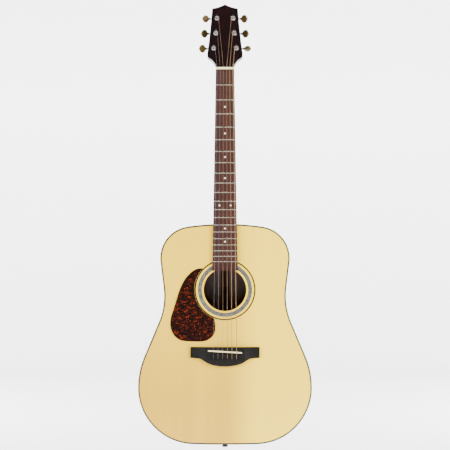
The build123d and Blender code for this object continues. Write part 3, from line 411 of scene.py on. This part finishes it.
class GUITAR_OT_inner_woods(Operator):
    """Finish the bare wood inside the body: spruce bars, cedar linings, mahogany blocks, maple plate"""

    bl_idname = "guitar.inner_woods"
    bl_label = "Inner woods"

    def execute(self, context):
        woods = context.scene.guitar_woods
        # Sanded, unfinished wood: no shine, threads a millimetre apart along the bar.
        bare = (
            ("sanded_spruce", woods.spruce_inside, ("x_brace", "top_braces", "back_braces")),
            ("sanded_cedar", woods.cedar, ("linings",)),
            ("sanded_maple", woods.maple, ("bridge_plate",)),
            # The back's centre strip is mahogany; its dark tone is painted shade, as dark as the shade inside
            # the body.
            ("sanded_mahogany_dark_as_shade", woods.mahogany_deep, ("back_centre_strip",)),
            ("sanded_mahogany", woods.mahogany, ("neck_block", "tail_block")),
        )
        for name, tone, nodes in bare:
            material, tree, shader = new_material(name, Roughness=0.75, Specular_IOR_Level=0.3)
            threads = fibres(tree, (600.0, 600.0, 60.0), Detail=3.0)
            feed(tree, shader, Base_Color=shaded(tree, tone[:3], threads, 0.78, 1.08, 0.25, 0.75))
            paint(material, *nodes)
        return {"FINISHED"}


class GUITAR_OT_body_and_neck(Operator):
    """Finish the back, the sides and the neck in open-pored mahogany"""

    bl_idname = "guitar.body_and_neck"
    bl_label = "Back, sides and neck"

    def execute(self, context):
        woods = context.scene.guitar_woods
        tones = (woods.mahogany, woods.mahogany_deep, woods.pores)
        gloss = {"Roughness": 0.4, "Coat_Weight": 0.7, "Coat_Roughness": 0.06, "Coat_IOR": 1.5}
        # Mahogany, pore-filled and sprayed gloss: red-brown ribbons along the grain, short dark pores.
        back = figured_wood("gloss_mahogany_back", *tones, (1, 1, 1), (1, 1, 0.03), gloss)
        paint(back, "back_plate")
        # On the bent sides the grain follows the outline, so its lines lie across the depth only.
        side = figured_wood("gloss_mahogany_sides", *tones, (0.03, 1, 0.03), (1, 1, 1), gloss)
        paint(side, "treble_side", "bass_side")
        # The neck has a thinner satin coat that leaves the pores a little open.
        satin = {"Roughness": 0.38, "Coat_Weight": 0.25, "Coat_Roughness": 0.25}
        neck = figured_wood("satin_mahogany_neck", *tones, (1, 1, 1), (1, 1, 0.03), satin)
        paint(neck, "neck")
        return {"FINISHED"}


class GUITAR_OT_fingerboard(Operator):
    """Finish the fingerboard, headstock face and bridge in dark oiled or lacquered woods"""

    bl_idname = "guitar.fingerboard"
    bl_label = "Fingerboard, headstock face and bridge"

    def execute(self, context):
        woods = context.scene.guitar_woods
        # Oiled rosewood: dark red-brown with black streaks and open pores, a dull sheen.
        board = figured_wood(
            "oiled_rosewood",
            woods.rosewood,
            woods.rosewood_deep,
            woods.pores,
            (1, 1, 1),
            (1, 1, 0.04),
            {"Roughness": 0.36},
            pore_share=0.2,
        )
        paint(board, "fingerboard")
        # Dyed rosewood veneer with a polished gloss face: nearly black, its figure shows only in a highlight.
        face = figured_wood(
            "lacquered_dark_veneer",
            woods.veneer,
            woods.veneer_deep,
            woods.pores,
            (1, 1, 1),
            (1, 1, 0.03),
            {"Roughness": 0.12, "IOR": 1.5},
        )
        paint(face, "headstock_veneer")
        # Blackened hardwood with the grain across the body, rubbed to a low sheen.
        bridge = figured_wood(
            "dyed_bridge_wood",
            woods.ebony,
            woods.ebony_deep,
            woods.pores,
            (0.05, 1, 1),
            (1, 1, 1),
            {"Roughness": 0.2},
        )
        paint(bridge, "bridge")
        return {"FINISHED"}


class GUITAR_OT_rosette(Operator):
    """Finish the rosette's pearly band and dark lines"""

    bl_idname = "guitar.rosette"
    bl_label = "Rosette"

    def execute(self, context):
        trim = context.scene.guitar_trim
        band_edges = (trim.band_inside, trim.band_outside)
        low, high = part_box("rosette")
        centre = (low + high) / 2
        outside = (high.x - low.x) / 2
        # Grey pearl flakes under lacquer between black dyed lines: each flake's tone is partly its own colour
        # and partly a painted reflection, lighter or darker as if it tilted the light its own way.
        material, tree, shader = new_material(
            "pearl_and_dyed_fibre", Roughness=0.3, Coat_Weight=0.4, Coat_Roughness=0.1
        )
        place = add_node(tree, "ShaderNodeTexCoord")
        moved = add_node(
            tree,
            "ShaderNodeMapping",
            {"Vector": place.outputs["Object"], "Location": (-centre.x, -centre.y, -centre.z)},
        )
        flat = add_node(
            tree, "ShaderNodeVectorMath", {0: moved.outputs["Vector"], 1: (1, 0, 1)}, operation="MULTIPLY"
        )
        reach = add_node(tree, "ShaderNodeVectorMath", {0: flat.outputs["Vector"]}, operation="LENGTH")
        share = add_node(
            tree, "ShaderNodeMath", {0: reach.outputs["Value"], 1: outside}, operation="DIVIDE"
        )
        flakes = add_node(
            tree, "ShaderNodeTexVoronoi", {"Vector": moved.outputs["Vector"], "Scale": 260.0, "Randomness": 1.0}
        )
        # Painted sheen on the flakes, multiplied into their colour.
        shine = add_node(
            tree, "ShaderNodeTexNoise", {"Vector": moved.outputs["Vector"], "Scale": 420.0, "Detail": 3.0}
        )
        flake_tone = add_node(tree, "ShaderNodeSeparateXYZ", {"Vector": flakes.outputs["Color"]})
        tone = add_node(
            tree, "ShaderNodeMath", {0: flake_tone.outputs["X"], 1: shine.outputs["Fac"]}, operation="MULTIPLY"
        )
        tone_range = add_node(tree, "ShaderNodeMapRange", {"Value": tone.outputs["Value"], 1: 0.0, 2: 0.6})
        pearl = mixed(tree, tone_range.outputs["Result"], trim.band_deep, trim.band)
        black, white = (0, 0, 0, 1), (1, 1, 1, 1)
        mask = add_node(
            tree,
            "ShaderNodeValToRGB",
            {"Fac": share.outputs["Value"]},
            stops=[
                (0.0, black),
                (band_edges[0] / outside, white),
                (band_edges[1] / outside, black),
            ],
        )
        mask.color_ramp.interpolation = "CONSTANT"
        feed(tree, shader, Base_Color=mixed(tree, mask.outputs["Color"], trim.rosette_line, pearl))
        paint(material, "rosette")
        return {"FINISHED"}


class GUITAR_OT_pickguard(Operator):
    """Finish the pickguard in tortoise-coloured celluloid"""

    bl_idname = "guitar.pickguard"
    bl_label = "Pickguard"

    def execute(self, context):
        trim = context.scene.guitar_trim
        # Tortoise celluloid, polished: near-black clouds that lean to one side, broken up by
        # red-brown and orange flecks 2 to 4 mm across.
        material, tree, shader = new_material(
            "tortoise_celluloid", Roughness=0.12, IOR=1.5
        )
        place = add_node(tree, "ShaderNodeTexCoord")
        turned = add_node(
            tree,
            "ShaderNodeMapping",
            {"Vector": place.outputs["Object"], "Rotation": (0, math.radians(-40), 0), "Scale": (80, 80, 190)},
        )
        clouds = add_node(
            tree,
            "ShaderNodeTexNoise",
            {"Vector": turned.outputs["Vector"], "Scale": 1.0, "Detail": 2.0, "Distortion": 0.6},
        )
        flecks = fibres(tree, (420.0, 420.0, 420.0), Detail=3.0, Roughness=0.65, Distortion=0.9)
        together = add_node(
            tree,
            "ShaderNodeMath",
            {0: clouds.outputs["Fac"], 1: 0.55, 2: flecks.outputs["Fac"]},
            operation="MULTIPLY_ADD",
        )
        shell = add_node(
            tree,
            "ShaderNodeValToRGB",
            {"Fac": together.outputs["Value"]},
            stops=[
                (0.0, trim.shell_dark),
                (0.79, trim.shell_dark),
                (0.83, trim.shell_red),
                (0.9, trim.shell_red),
                (0.96, trim.shell_orange),
            ],
        )
        feed(tree, shader, Base_Color=shell.outputs["Color"])
        paint(material, "pickguard")
        return {"FINISHED"}


class GUITAR_OT_plastics(Operator):
    """Finish the bindings, heel cap, strap button, dots, nut and saddle"""

    bl_idname = "guitar.plastics"
    bl_label = "Plastics and bone"

    def execute(self, context):
        trim = context.scene.guitar_trim
        # ABS strip, scraped flush and polished; bone and pearloid are polished too.
        plain = (
            ("scraped_abs_binding", trim.binding, 0.3, 60.0, ("bindings", "heel_cap", "tail_strap_button")),
            ("polished_bone", trim.bone, 0.35, 700.0, ("nut", "saddle")),
            ("pearloid_dots", trim.pearl, 0.2, 900.0, ("position_dots",)),
        )
        for name, tone, roughness, scale, nodes in plain:
            material, tree, shader = new_material(name, Roughness=roughness, IOR=1.53)
            cloud = fibres(tree, (scale, scale, scale), Detail=3.0)
            feed(tree, shader, Base_Color=shaded(tree, tone[:3], cloud, 0.9, 1.04))
            paint(material, *nodes)
        return {"FINISHED"}


class GUITAR_OT_metals(Operator):
    """Finish the tuning machines, frets, truss rod and strings"""

    bl_idname = "guitar.metals"
    bl_label = "Metals"

    def execute(self, context):
        trim = context.scene.guitar_trim
        numbers = range(1, STRINGS + 1)
        metals = (
            # Antique gold plating on die-cast zinc: warm and slightly cloudy.
            (
                "antique_gold_plating",
                trim.gold,
                0.42,
                ["tuner_housings"] + [f"tuning_button_{n}" for n in numbers],
            ),
            # Bright chrome on turned brass.
            ("chrome_plating", trim.chrome, 0.18, ["tuner_bushings"] + [f"string_post_{n}" for n in numbers]),
            # Drawn nickel silver wire, polished after levelling.
            ("nickel_silver_wire", trim.nickel, 0.25, ["frets"]),
            # Hobbed brass, left as cut.
            ("hobbed_brass", trim.brass, 0.4, [f"post_gear_{n}" for n in numbers]),
            # Turned and oiled steel.
            (
                "turned_steel",
                trim.steel,
                0.35,
                ["tuner_screws", "truss_rod", "truss_rod_nut"] + [f"worm_shaft_{n}" for n in numbers],
            ),
            # Drawn tinned steel.
            ("tinned_steel_string", trim.plain_string, 0.3, ["string_1", "string_2"]),
        )
        for name, tone, roughness, nodes in metals:
            material, tree, shader = new_material(name, Metallic=1.0, Roughness=roughness)
            film = fibres(tree, (260.0, 260.0, 260.0), Detail=4.0)
            dull = add_node(
                tree,
                "ShaderNodeMapRange",
                {"Value": film.outputs["Fac"], 1: 0.3, 2: 0.7, 3: roughness * 1.25, 4: roughness * 0.85},
            )
            toned = shaded(tree, tone[:3], film, 0.86, 1.05)
            feed(tree, shader, Base_Color=toned, Roughness=dull.outputs["Result"])
            paint(material, *nodes)
        return {"FINISHED"}


class GUITAR_OT_wound_strings(Operator):
    """Finish the four wound strings with a ribbed bronze wrap"""

    bl_idname = "guitar.wound_strings"
    bl_label = "Wound strings"

    def execute(self, context):
        paint(wound_material(context), *(f"string_{n}" for n in range(3, STRINGS + 1)))
        return {"FINISHED"}


def wound_material(context):
    """Phosphor bronze wrap wire: coppery ribs across the string, 0.6 mm apart, with painted shade in the
    grooves between them so that they show.
    """
    found = bpy.data.materials.get("phosphor_bronze_wrap")
    if found:
        return found
    trim = context.scene.guitar_trim
    material, tree, shader = new_material("phosphor_bronze_wrap", Metallic=1.0, Roughness=0.34)
    place = add_node(tree, "ShaderNodeTexCoord")
    # A wave's period is 0.314 m over its scale, so 520 puts the ribs 0.6 mm apart along the neck.
    ribs = add_node(
        tree,
        "ShaderNodeTexWave",
        {"Vector": place.outputs["Object"], "Scale": 520.0, "Distortion": 0.0},
        bands_direction="Z",
    )
    # The troughs between the ribs are painted darker: painted shade in the grooves between the wraps.
    toned = shaded(tree, trim.wound_string[:3], ribs, 0.62, 1.05, 0.0, 1.0)
    heights = {"Height": ribs.outputs["Fac"], "Strength": 0.4, "Distance": 0.1 * MM}
    bump = add_node(tree, "ShaderNodeBump", heights)
    feed(tree, shader, Base_Color=toned, Normal=bump.outputs["Normal"])
    return material


def string_end(number):
    """Where a string reaches its post, and its radius there."""
    points = [vert.co.copy() for vert in frame["nodes"][f"string_{number}"].data.vertices]
    top = max(point.z for point in points)
    ring = [point for point in points if point.z > top - 1.5 * MM]
    centre = sum(ring, Vector()) / len(ring)
    return centre, max((point - centre).length for point in ring)


def nearest_post(place):
    """The post joint whose axis passes nearest to a place."""

    def distance(joint):
        way = place - Vector(joint["pos_m"])
        axis = Vector(joint["axis"]).normalized()
        return (way - axis * way.dot(axis)).length

    return min((joint for joint in frame["joints"] if joint["name"].startswith("post_")), key=distance)


class GUITAR_OT_windings(Operator):
    """Wind each string round its post, through the hole and out to a cut tail"""

    bl_idname = "guitar.windings"
    bl_label = "String windings"

    def execute(self, context):
        for number in range(1, STRINGS + 1):
            touch, radius = string_end(number)
            joint = nearest_post(touch)
            piece = wind_string(context.scene.guitar_windings, number, joint, touch, radius)
            if number > 2:
                piece.data.materials.append(wound_material(context))
            else:
                piece.data.materials.append(bpy.data.materials["tinned_steel_string"])
            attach(piece, joint["name"].removesuffix("_turn"))
        return {"FINISHED"}


def wind_string(settings, number, joint, touch, radius):
    """A string wound up its post from the touching point, bent into the hole and out to its tail."""
    foot, axis = Vector(joint["pos_m"]), Vector(joint["axis"]).normalized()
    outwards = Vector((1 if foot.x > 0 else -1, 0, 0))
    turning = -axis * outwards.x
    spoke = touch - foot - axis * (touch - foot).dot(axis)
    rise = settings.hole_height - (touch - foot).dot(axis)
    turns = min(rise / (2 * radius * settings.wrap_gap), settings.most_turns)
    # The string leaves its last turn early enough for the bend to end on the hole's own line.
    bend = radius + settings.bend_gap
    early = math.asin(bend / (spoke.length - bend))
    start = math.atan2(turning.cross(outwards).dot(spoke), outwards.dot(spoke))
    first_part = (-early - start) % (2 * math.pi)
    sweep = first_part + 2 * math.pi * max(1, round(turns - first_part / (2 * math.pi)))
    steps = round(sweep / (2 * math.pi) * 24)
    form = bmesh.new()
    upright = turning.cross(spoke).normalized().to_track_quat("Z", "Y").to_matrix().to_4x4()
    place = Matrix.Translation(touch) @ upright
    ring = bmesh.ops.create_circle(form, cap_ends=False, radius=radius, segments=10, matrix=place)
    edges = list({edge for vert in ring["verts"] for edge in vert.link_edges})
    wraps = bmesh.ops.spin(
        form,
        geom=ring["verts"] + edges,
        cent=foot,
        axis=turning,
        dvec=axis * (rise / steps),
        angle=sweep,
        steps=steps,
        use_duplicate=False,
    )
    level = foot + axis * settings.hole_height
    inner = spoke.length - bend
    turn_in = bmesh.ops.spin(
        form,
        geom=wraps["geom_last"],
        cent=level + Matrix.Rotation(-early, 3, turning) @ outwards * inner,
        axis=turning,
        angle=math.pi / 2 + early,
        steps=7,
        use_duplicate=False,
    )
    last = [item for item in turn_in["geom_last"] if isinstance(item, bmesh.types.BMEdge)]
    tail = bmesh.ops.extrude_edge_only(form, edges=last)
    verts = [item for item in tail["geom"] if isinstance(item, bmesh.types.BMVert)]
    length = inner * math.cos(early) + spoke.length + settings.tail_length
    bmesh.ops.translate(form, verts=verts, vec=-outwards * length)
    bmesh.ops.holes_fill(form, edges=[edge for edge in form.edges if edge.is_boundary], sides=0)
    bmesh.ops.recalc_face_normals(form, faces=form.faces)
    mesh = bpy.data.meshes.new(f"winding_{number}")
    form.to_mesh(mesh)
    form.free()
    for polygon in mesh.polygons:
        polygon.use_smooth = len(polygon.vertices) == 4
    piece = bpy.data.objects.new(f"winding_{number}", mesh)
    bpy.context.scene.collection.objects.link(piece)
    return piece


class GUITAR_OT_studio(Operator):
    """Set up the pale paper sweep, the soft lights and the camera"""

    bl_idname = "guitar.studio"
    bl_label = "Studio"

    def execute(self, context):
        studio = context.scene.guitar_studio
        low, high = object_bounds()
        # Matt white studio paper: even and without shine.
        paper, tree, shader = new_material("white_studio_paper", Roughness=0.9, Specular_IOR_Level=0.1)
        mottle = fibres(tree, (3.0, 3.0, 3.0), Detail=2.0)
        feed(tree, shader, Base_Color=shaded(tree, studio.floor[:3], mottle, 0.985, 1.0))
        sweep = paper_sweep(studio, low.z - studio.floor_drop)
        sweep.data.materials.append(paper)
        context.scene.collection.objects.link(sweep)
        sweep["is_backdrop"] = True

        world = bpy.data.worlds.new("studio_light")
        world.use_nodes = True
        world.node_tree.nodes["Background"].inputs["Color"].default_value = studio.fill
        world.node_tree.nodes["Background"].inputs["Strength"].default_value = studio.fill_strength
        context.scene.world = world
        middle = (low + high) / 2
        on_paper = Vector((0.0, 4.0, 0.6))
        for name, place, size, power, aim in (
            ("left_softbox", (-2.7, -1.8, 1.2), 2.0, studio.key_power * 0.8, middle),
            ("right_softbox", (2.7, -1.8, 1.1), 2.0, studio.key_power, middle),
            ("top_softbox", (0.0, 0.1, 3.0), 1.4, studio.key_power * 0.3, middle),
            ("left_paper_light", (-2.4, 1.4, 1.2), 1.2, studio.paper_power, on_paper),
            ("right_paper_light", (2.4, 1.4, 1.2), 1.2, studio.paper_power, on_paper),
        ):
            data = bpy.data.lights.new(name, "AREA")
            data.shape, data.size, data.energy = "SQUARE", size, power
            light = bpy.data.objects.new(name, data)
            light.location = place
            light.rotation_euler = (aim - Vector(place)).to_track_quat("-Z", "Y").to_euler()
            context.scene.collection.objects.link(light)
        place_camera(context, studio)
        return {"FINISHED"}


def paper_sweep(studio, floor_z):
    """A floor that bends up into a wall behind the guitar."""
    half_length = (studio.floor_front + studio.floor_back) / 2
    form = bmesh.new()
    bmesh.ops.create_grid(form, x_segments=1, y_segments=1, size=1.0)
    bmesh.ops.scale(form, verts=form.verts, vec=(studio.floor_half_width, half_length, 1.0))
    bmesh.ops.translate(form, verts=form.verts, vec=(0, studio.floor_back - half_length, floor_z))
    rear = [edge for edge in form.edges if all(vert.co.y > 0 for vert in edge.verts)]
    bend = bmesh.ops.spin(
        form,
        geom=rear + list({vert for edge in rear for vert in edge.verts}),
        cent=(0, studio.floor_back, floor_z + studio.floor_bend),
        axis=(1, 0, 0),
        angle=math.pi / 2,
        steps=16,
        use_duplicate=False,
    )
    top = [item for item in bend["geom_last"] if isinstance(item, bmesh.types.BMEdge)]
    raised = bmesh.ops.extrude_edge_only(form, edges=top)
    verts = [item for item in raised["geom"] if isinstance(item, bmesh.types.BMVert)]
    bmesh.ops.translate(form, verts=verts, vec=(0, 0, studio.wall_rise))
    bmesh.ops.recalc_face_normals(form, faces=form.faces)
    mesh = bpy.data.meshes.new("paper_sweep")
    form.to_mesh(mesh)
    form.free()
    for polygon in mesh.polygons:
        polygon.use_smooth = True
    return bpy.data.objects.new("paper_sweep", mesh)


def place_camera(context, studio):
    """A level camera straight in front of the soundboard."""
    soundboard_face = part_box("soundboard")[0].y
    data = bpy.data.cameras.new("camera")
    data.sensor_width = 36.0
    data.lens = data.sensor_width * studio.camera_distance / studio.picture_height
    data.clip_end = 60.0
    camera = bpy.data.objects.new("camera", data)
    camera.location = (0, soundboard_face - studio.camera_distance, studio.camera_height)
    camera.rotation_euler = (math.pi / 2, 0, 0)
    context.scene.collection.objects.link(camera)
    context.scene.camera = camera


OPERATORS = (
    GUITAR_OT_soundboard,
    GUITAR_OT_inner_woods,
    GUITAR_OT_body_and_neck,
    GUITAR_OT_fingerboard,
    GUITAR_OT_rosette,
    GUITAR_OT_pickguard,
    GUITAR_OT_plastics,
    GUITAR_OT_metals,
    GUITAR_OT_wound_strings,
    GUITAR_OT_windings,
    GUITAR_OT_studio,
)


class GUITAR_PT_panel(Panel):
    """Lists the guitar's steps and their settings"""

    bl_label = "Guitar"
    bl_space_type = "VIEW_3D"
    bl_region_type = "UI"
    bl_category = "Guitar"

    def draw(self, context):
        for operator in OPERATORS:
            self.layout.operator(operator.bl_idname)
        for group in GROUPS:
            settings = getattr(context.scene, property_name(group))
            column = self.layout.column()
            for name in group.__annotations__:
                column.prop(settings, name)


def property_name(group):
    """guitar_woods for GuitarWoods, and so on."""
    return "guitar_" + group.__name__[len("Guitar") :].lower()


def register():
    for group in GROUPS:
        bpy.utils.register_class(group)
        setattr(bpy.types.Scene, property_name(group), PointerProperty(type=group))
    for operator in OPERATORS:
        bpy.utils.register_class(operator)
    bpy.utils.register_class(GUITAR_PT_panel)


def unregister():
    bpy.utils.unregister_class(GUITAR_PT_panel)
    for operator in reversed(OPERATORS):
        bpy.utils.unregister_class(operator)
    for group in reversed(GROUPS):
        delattr(bpy.types.Scene, property_name(group))
        bpy.utils.unregister_class(group)


def main():
    """Registers the add-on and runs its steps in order."""
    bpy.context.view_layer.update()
    register()
    for operator in OPERATORS:
        family, name = operator.bl_idname.split(".")
        getattr(getattr(bpy.ops, family), name)()


if __name__ == "__main__":
    main()
